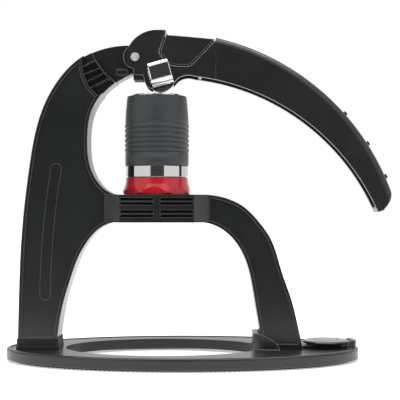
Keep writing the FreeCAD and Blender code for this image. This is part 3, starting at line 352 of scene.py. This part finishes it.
def swept_mesh(outline, centre):
    """A closed outline of (half length, half width, height) places swept round an upright axis."""
    shape = bmesh.new()
    rings = []
    for half_x, half_y, height in outline:
        ring = []
        for index in range(ROUND_SEGMENTS):
            angle = 2 * math.pi * index / ROUND_SEGMENTS
            ring.append(shape.verts.new((centre[0] + half_x * math.cos(angle),
                                         centre[1] + half_y * math.sin(angle), height)))
        rings.append(ring)
    for here, there in zip(rings, rings[1:] + rings[:1]):
        for index in range(ROUND_SEGMENTS):
            after = (index + 1) % ROUND_SEGMENTS
            face = shape.faces.new((here[index], here[after], there[after], there[index]))
            face.smooth = True
    bmesh.ops.recalc_face_normals(shape, faces=shape.faces)
    mesh = bpy.data.meshes.new("swept")
    shape.to_mesh(mesh)
    shape.free()
    return mesh


def silicone_grip():
    """The sleeve: drawn in a little at the top, fuller below, with six raised grip rings."""
    low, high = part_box("silicone_sleeve")
    centre = middle_of("silicone_sleeve")
    lip = (high.x - low.x) / 2 - GRIP_BEAD
    inner = TUBE_RADIUS + GRIP_FIT
    upper = lip - GRIP_DRAWN_IN
    ring_high = high.z - GRIP_RINGS_DOWN
    ring_low = ring_high - GRIP_PITCH * GRIP_RINGS
    foot_in, foot_up = GRIP_FOOT_ROUND
    outline = [(inner, low.z), (lip - foot_in, low.z), (lip, low.z + foot_up),
               (lip, ring_low - GRIP_LEDGE)]
    for ring in range(GRIP_RINGS):
        for step in range(BEAD_STEPS):
            share = step / BEAD_STEPS
            swell = math.sqrt(math.sin(math.pi * share)) * (GRIP_BEAD + GRIP_GROOVE)
            outline.append((lip - GRIP_GROOVE + swell, ring_low + GRIP_PITCH * (ring + share)))
    outline.append((lip - GRIP_GROOVE, ring_high))
    outline.append((lip, ring_high + GRIP_LEDGE))
    for step in range(1, WALL_STEPS + 1):
        share = step / WALL_STEPS
        radius = lip - GRIP_DRAWN_IN * share ** GRIP_DRAW_BEND
        outline.append((radius, ring_high + (high.z - GRIP_SHOULDER - ring_high) * share))
    for step in range(1, WALL_STEPS + 1):
        turn = math.pi / 2 * step / WALL_STEPS
        outline.append((upper - GRIP_TOP_INSET * (1 - math.cos(turn)),
                        high.z - GRIP_SHOULDER * (1 - math.sin(turn))))
    outline.append((inner, high.z))
    round_outline = [(radius, radius, height) for radius, height in outline]
    piece_from("silicone_grip", swept_mesh(round_outline, centre), "silicone_sleeve")


def merged_copy(node):
    """A copy of a node's mesh with its loose triangles joined up into flat faces."""
    mesh = frame["nodes"][node].data.copy()
    shape = bmesh.new()
    shape.from_mesh(mesh)
    bmesh.ops.remove_doubles(shape, verts=shape.verts, dist=WELD_WITHIN)
    bmesh.ops.dissolve_limit(shape, angle_limit=FLAT_WITHIN, verts=shape.verts, edges=shape.edges)
    shape.to_mesh(mesh)
    shape.free()
    return mesh


def softened(node, name, radius):
    """A moulded rubber piece: the node's shape with its edges rounded."""
    piece = piece_from(name, merged_copy(node), node)
    rounding = piece.modifiers.new("moulded_edges", "BEVEL")
    rounding.width = radius
    rounding.segments = EDGE_STEPS
    rounding.limit_method = "ANGLE"
    rounding.angle_limit = ROUNDED_PAST


def inputs_of(tree, **kinds):
    """Gives a Geometry Nodes tree its named inputs and returns the node they come from."""
    for name, kind in kinds.items():
        tree.interface.new_socket(name=name.replace("_", " "), in_out="INPUT",
                                  socket_type="NodeSocket" + kind)
    tree.interface.new_socket(name="Geometry", in_out="OUTPUT", socket_type="NodeSocketGeometry")
    return add_node(tree, "NodeGroupInput").outputs


def closed_off(tree, shapes, material):
    """Ends a tree: real geometry in place of instances, with its finish."""
    real = add_node(tree, "GeometryNodeRealizeInstances", {"Geometry": shapes}).outputs["Geometry"]
    dressed = add_node(tree, "GeometryNodeSetMaterial", {"Geometry": real, "Material": material})
    add_node(tree, "NodeGroupOutput", {"Geometry": dressed.outputs["Geometry"]})


def stacked_rings_tree():
    """Round rings of round cord, one above the other."""
    tree = bpy.data.node_groups.new("stacked_rings", "GeometryNodeTree")
    given = inputs_of(tree, Count="Int", Centre="Vector", Step="Vector", Ring_Radius="Float",
                      Cord_Radius="Float", Finish="Material")
    around = add_node(tree, "GeometryNodeCurvePrimitiveCircle",
                      {"Resolution": SEAL_SEGMENTS, "Radius": given["Ring Radius"]}).outputs["Curve"]
    cord = add_node(tree, "GeometryNodeCurvePrimitiveCircle",
                    {"Resolution": CORD_SEGMENTS, "Radius": given["Cord Radius"]}).outputs["Curve"]
    ring = add_node(tree, "GeometryNodeCurveToMesh",
                    {"Curve": around, "Profile Curve": cord}).outputs["Mesh"]
    places = add_node(tree, "GeometryNodeMeshLine",
                      {"Count": given["Count"], "Start Location": given["Centre"], "Offset": given["Step"]})
    rings = add_node(tree, "GeometryNodeInstanceOnPoints",
                     {"Points": places.outputs["Mesh"], "Instance": ring})
    closed_off(tree, rings.outputs["Instances"], given["Finish"])
    return tree


def oval_treads_tree():
    """Short bars set across an oval, an equal way apart."""
    tree = bpy.data.node_groups.new("oval_treads", "GeometryNodeTree")
    given = inputs_of(tree, Count="Int", Centre="Vector", Half_Axes="Vector", Bar_Size="Vector",
                      Finish="Material")
    around = add_node(tree, "GeometryNodeCurvePrimitiveCircle",
                      {"Resolution": OVAL_SEGMENTS, "Radius": 1.0})
    oval = add_node(tree, "GeometryNodeTransform",
                    {"Geometry": around.outputs["Curve"], "Translation": given["Centre"],
                     "Scale": given["Half Axes"]}).outputs["Geometry"]
    even = add_node(tree, "GeometryNodeResampleCurve", {"Curve": oval, "Count": given["Count"]})
    along = add_node(tree, "GeometryNodeInputTangent").outputs["Tangent"]
    turn = add_node(tree, "FunctionNodeAlignRotationToVector", {"Vector": along}, axis="Y")
    bar = add_node(tree, "GeometryNodeMeshCube", {"Size": given["Bar Size"]}).outputs["Mesh"]
    bars = add_node(tree, "GeometryNodeInstanceOnPoints",
                    {"Points": even.outputs["Curve"], "Instance": bar,
                     "Rotation": turn.outputs["Rotation"]})
    closed_off(tree, bars.outputs["Instances"], given["Finish"])
    return tree


def made_by(tree, name, smooth=True, **values):
    """The plain mesh that a tree makes from these values."""
    holder = bpy.data.objects.new(name, bpy.data.meshes.new(name))
    bpy.context.scene.collection.objects.link(holder)
    maker = holder.modifiers.new(name, "NODES")
    maker.node_group = tree
    for socket in tree.interface.items_tree:
        key = socket.name.replace(" ", "_")
        if socket.in_out == "INPUT" and key in values:
            maker[socket.identifier] = values[key]
    state = bpy.context.evaluated_depsgraph_get()
    mesh = bpy.data.meshes.new_from_object(holder.evaluated_get(state))
    bpy.data.objects.remove(holder)
    for face in mesh.polygons:
        face.use_smooth = smooth
    return mesh


def foot_strip():
    """The rubber strip that the press stands on, with cross treads under it so that it grips."""
    low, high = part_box("rubber_foot_ring")
    centre = middle_of("rubber_foot_ring")
    half_x = (high.x - low.x) / 2
    half_y = (high.y - low.y) / 2
    floor = TREAD_DEPTH
    knee = STRIP_KNEE * STRIP_ROUND
    outline = [(0.0, high.z), (0.0, floor + STRIP_ROUND), (knee, floor + knee),
               (STRIP_ROUND, floor), (STRIP_WIDTH - STRIP_ROUND, floor),
               (STRIP_WIDTH - knee, floor + knee),
               (STRIP_WIDTH, floor + STRIP_ROUND), (STRIP_WIDTH, high.z)]
    piece_from("foot_strip", swept_mesh([(half_x - inset, half_y - inset, height)
                                         for inset, height in outline], centre), "rubber_foot_ring")
    middle = STRIP_WIDTH / 2
    treads = made_by(oval_treads_tree(), "foot_treads", smooth=False, Count=TREAD_COUNT,
                     Centre=(centre.x, centre.y, (TREAD_DEPTH + TREAD_SUNK) / 2),
                     Half_Axes=(half_x - middle, half_y - middle, 1.0),
                     Bar_Size=(STRIP_WIDTH - 2 * STRIP_ROUND, TREAD_WIDTH, TREAD_DEPTH + TREAD_SUNK),
                     Finish=foot_rubber)
    piece_from("foot_treads", treads, "rubber_foot_ring")


def ring_seals(rings, name, node, count, cord):
    """Rings of round cord that fill a seal's height, the lowest and the highest at its ends."""
    low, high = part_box(node)
    centre = middle_of(node)
    step = high.z - low.z - 2 * cord
    mesh = made_by(rings, name, Count=count, Centre=(centre.x, centre.y, low.z + cord),
                   Step=(0.0, 0.0, step), Ring_Radius=(high.x - low.x) / 2 - cord,
                   Cord_Radius=cord, Finish=seal_rubber)
    piece_from(name, mesh, node)


def round_seals():
    """The O-rings in the piston's two grooves, and the seals of the basket and the screen."""
    rings = stacked_rings_tree()
    ring_seals(rings, "piston_rings", "piston_seals", 2, PISTON_CORD)
    for node, name in (("basket_gasket", "basket_seal"), ("screen_seal", "screen_ring")):
        low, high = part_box(node)
        ring_seals(rings, name, node, 1, (high.z - low.z) / 2)


silicone_grip()
foot_strip()
round_seals()
softened("rear_shoe", "heel_shoe", 0.5 * MM)
softened("lever_stop", "stop_bumper", 0.8 * MM)
softened("grip_studs", "rest_studs", 0.4 * MM)


# Studio


def stage_mesh(name, corners, material):
    """A flat sheet of the studio, which isn't part of the press."""
    mesh = bpy.data.meshes.new(name)
    mesh.from_pydata(corners, [], [tuple(range(len(corners)))])
    mesh.materials.append(material)
    thing = bpy.data.objects.new(name, mesh)
    bpy.context.scene.collection.objects.link(thing)


def paper_shader(tree, place, rays):
    """White paper. What the camera and the metal see of it is lifted to white, but for shadow."""
    seen = add_node(tree, "ShaderNodeMath",
                    {0: rays["Is Camera Ray"], 1: rays["Is Glossy Ray"]}, operation="MAXIMUM")
    away = add_node(tree, "ShaderNodeVectorMath", {0: place}, operation="LENGTH")
    fill = ramp(tree, away.outputs["Value"], FLOOR_LIFT_AWAY, FLOOR_LIFT)
    lift = add_node(tree, "ShaderNodeMath", {0: seen.outputs["Value"], 1: fill}, operation="MULTIPLY")
    paper = add_node(tree, "ShaderNodeBsdfDiffuse", {"Color": linear("#F2F2F2")})
    glow = add_node(tree, "ShaderNodeEmission",
                    {"Color": linear("#FFFFFF"), "Strength": lift.outputs["Value"]})
    both = add_node(tree, "ShaderNodeAddShader", {0: paper.outputs["BSDF"], 1: glow.outputs["Emission"]})
    return both.outputs["Shader"]


def white_floor():
    """A plain white floor, which reflections see only as far as the front edge of its paper."""
    material, tree = empty_material("white_floor")
    rays = add_node(tree, "ShaderNodeLightPath").outputs
    place = add_node(tree, "ShaderNodeTexCoord").outputs["Object"]
    paper = paper_shader(tree, place, rays)
    parts = add_node(tree, "ShaderNodeSeparateXYZ", {"Vector": place})
    past = ramp(tree, parts.outputs["Y"], FLOOR_FRONT_EDGE, (0.0, 1.0))
    hidden = add_node(tree, "ShaderNodeMath", {0: rays["Is Glossy Ray"], 1: past}, operation="MULTIPLY")
    dark = add_node(tree, "ShaderNodeEmission", {"Color": linear("#FFFFFF"), "Strength": STUDIO_DARK})
    floor = add_node(tree, "ShaderNodeMixShader",
                     {0: hidden.outputs["Value"], 1: paper, 2: dark.outputs["Emission"]})
    add_node(tree, "ShaderNodeOutputMaterial", {"Surface": floor.outputs["Shader"]})
    far = FLOOR_REACH
    stage_mesh("floor", [(-far, -far, 0), (far, -far, 0), (far, far, 0), (-far, far, 0)], material)


def studio_world():
    """White behind the press, dim in front of it, and white wherever the camera looks."""
    world = bpy.data.worlds.new("studio")
    bpy.context.scene.world = world
    world.use_nodes = True
    tree = world.node_tree
    tree.nodes.clear()
    direction = add_node(tree, "ShaderNodeTexCoord").outputs["Generated"]
    parts = add_node(tree, "ShaderNodeSeparateXYZ", {"Vector": direction})
    behind = ramp(tree, parts.outputs["Y"], BACK_BEGINS, (STUDIO_DARK, STUDIO_BACK))
    rays = add_node(tree, "ShaderNodeLightPath").outputs
    # Sockets 0, 2 and 3 of a number mix are its factor and its two numbers.
    level = add_node(tree, "ShaderNodeMix", {0: rays["Is Camera Ray"], 2: behind, 3: 1.0},
                     data_type="FLOAT").outputs[0]
    glow = add_node(tree, "ShaderNodeBackground", {"Color": linear("#FFFFFF"), "Strength": level})
    add_node(tree, "ShaderNodeOutputWorld", {"Surface": glow.outputs["Background"]})


def softbox(name, place, target, width, height, brightness):
    """An area lamp as bright over its face as brightness says, where 1 is white."""
    data = bpy.data.lights.new(name, "AREA")
    data.shape = "RECTANGLE"
    data.size = width
    data.size_y = height
    data.energy = brightness * math.pi * width * height
    lamp = bpy.data.objects.new(name, data)
    lamp.location = place
    lamp.rotation_euler = (Vector(target) - Vector(place)).to_track_quat("-Z", "Y").to_euler()
    bpy.context.scene.collection.objects.link(lamp)


def side_softbox(name, azimuth, width):
    """A lamp that faces the brewing head. Azimuth 0 is the camera's side and 90 the right."""
    head = middle_of("brew_cylinder")
    turn = math.radians(azimuth)
    place = (head.x + SIDE_LAMP_AWAY * math.sin(turn), head.y - SIDE_LAMP_AWAY * math.cos(turn),
             SIDE_LAMP_HEIGHT)
    softbox(name, place, head, width, SIDE_LAMP_TALL, SIDE_LAMP_LEVEL)


def photograph_camera():
    """A level camera in front of the press, with the lens shifted as the photograph is framed."""
    data = bpy.data.cameras.new("camera")
    data.lens = CAMERA_LENS_MM
    data.sensor_width = CAMERA_FILM_MM
    data.shift_y = HORIZON_PIXELS / PHOTO_PIXELS
    camera = bpy.data.objects.new("camera", data)
    camera.location = CAMERA_PLACE
    camera.rotation_euler = (math.pi / 2, 0.0, 0.0)
    bpy.context.scene.collection.objects.link(camera)
    bpy.context.scene.camera = camera


white_floor()
studio_world()
side_softbox("left_softbox", azimuth=-57, width=1.65)
side_softbox("right_softbox", azimuth=60, width=1.45)
softbox("top_softbox", (0.0, -0.42, 1.25), (0.0, 0.0, 0.1), width=1.6, height=1.5, brightness=1.6)
# A narrow strip right overhead draws a bright line along every rounded top edge.
softbox("edge_strip", (0.03, -0.04, 1.1), (0.03, 0.0, 0.1), width=1.4, height=0.12, brightness=12.0)
photograph_camera()
bpy.context.scene.view_settings.view_transform = "Standard"
